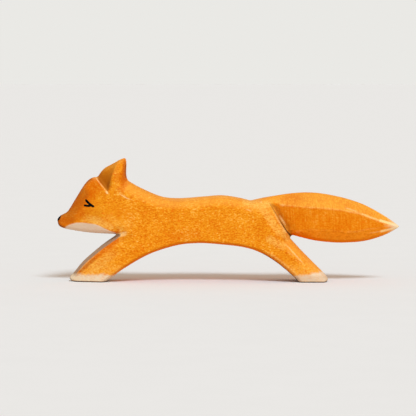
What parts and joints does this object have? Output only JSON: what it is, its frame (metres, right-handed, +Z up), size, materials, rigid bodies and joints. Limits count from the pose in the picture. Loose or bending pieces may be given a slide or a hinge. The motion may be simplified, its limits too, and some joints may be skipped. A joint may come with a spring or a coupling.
{
  "type": "wooden toy fox",
  "caption": "Running fox carved from one board: pricked ears, flat paws to stand on, a long faceted tail and a painted face.",
  "frame": {"origin": "middle of the figure's length and thickness, on the plane of its four soles", "axes": "+X from the nose towards the tail, Y through the thickness of the board, +Z up"},
  "size_m": [0.15, 0.0198, 0.054],
  "materials": {
    "stained_wood": "orange stain, hand rubbed, with bare wood and thin white paint at chin, paws and tail tip"
  },
  "bodies": {
    "root": {"fox_figure": "stained_wood"}
  },
  "joints": []
}
